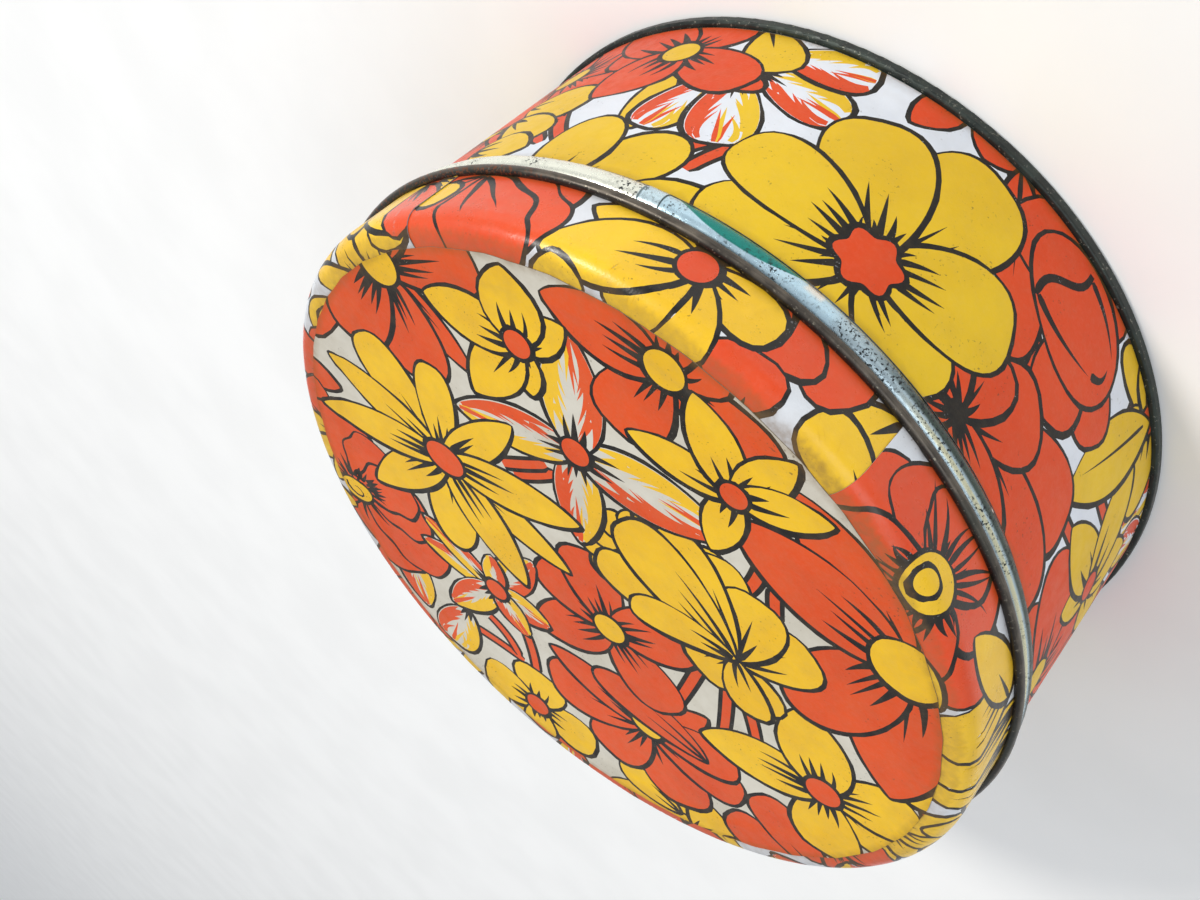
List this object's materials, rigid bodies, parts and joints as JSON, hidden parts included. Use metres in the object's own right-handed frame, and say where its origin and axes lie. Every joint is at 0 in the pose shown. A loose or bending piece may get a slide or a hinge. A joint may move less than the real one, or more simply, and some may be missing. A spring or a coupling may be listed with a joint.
{
  "type": "round slip-lid tin",
  "caption": "Round shallow metal tin with a loose lift-off lid, a stop bead and a double-seamed base, covered in bold flower-print vinyl.",
  "frame": {"origin": "centre of the base rim, on the surface that the tin stands on", "axes": "+Z along the tin's axis, up towards the lid; -Y towards the side that is usually seen, away from the lap of the body's vinyl"},
  "size_m": [0.207, 0.207, 0.0972],
  "materials": {
    "printed_tinplate": "old varnished print, worn, with bare tinplate inside",
    "dark_tinplate": "tarnished, satin",
    "lid_print": "flower-print vinyl, soft gloss, soiled edge",
    "skirt_print": "flower-print vinyl, soft gloss, creased at the shoulder",
    "body_print": "flower-print vinyl, soft gloss"
  },
  "bodies": {
    "tin": {"body_wall": "printed_tinplate", "base_end": "dark_tinplate", "body_vinyl": "body_print"},
    "lid": {"lid_shell": "dark_tinplate", "lid_skirt_vinyl_front": "skirt_print", "lid_skirt_vinyl_back": "skirt_print", "lid_top_vinyl": "lid_print"}
  },
  "joints": [
    {"name": "lid_lift", "type": "slide", "parent": "tin", "child": "lid", "axis": [0, 0, 1], "range_m": [0, 0.12]}
  ]
}
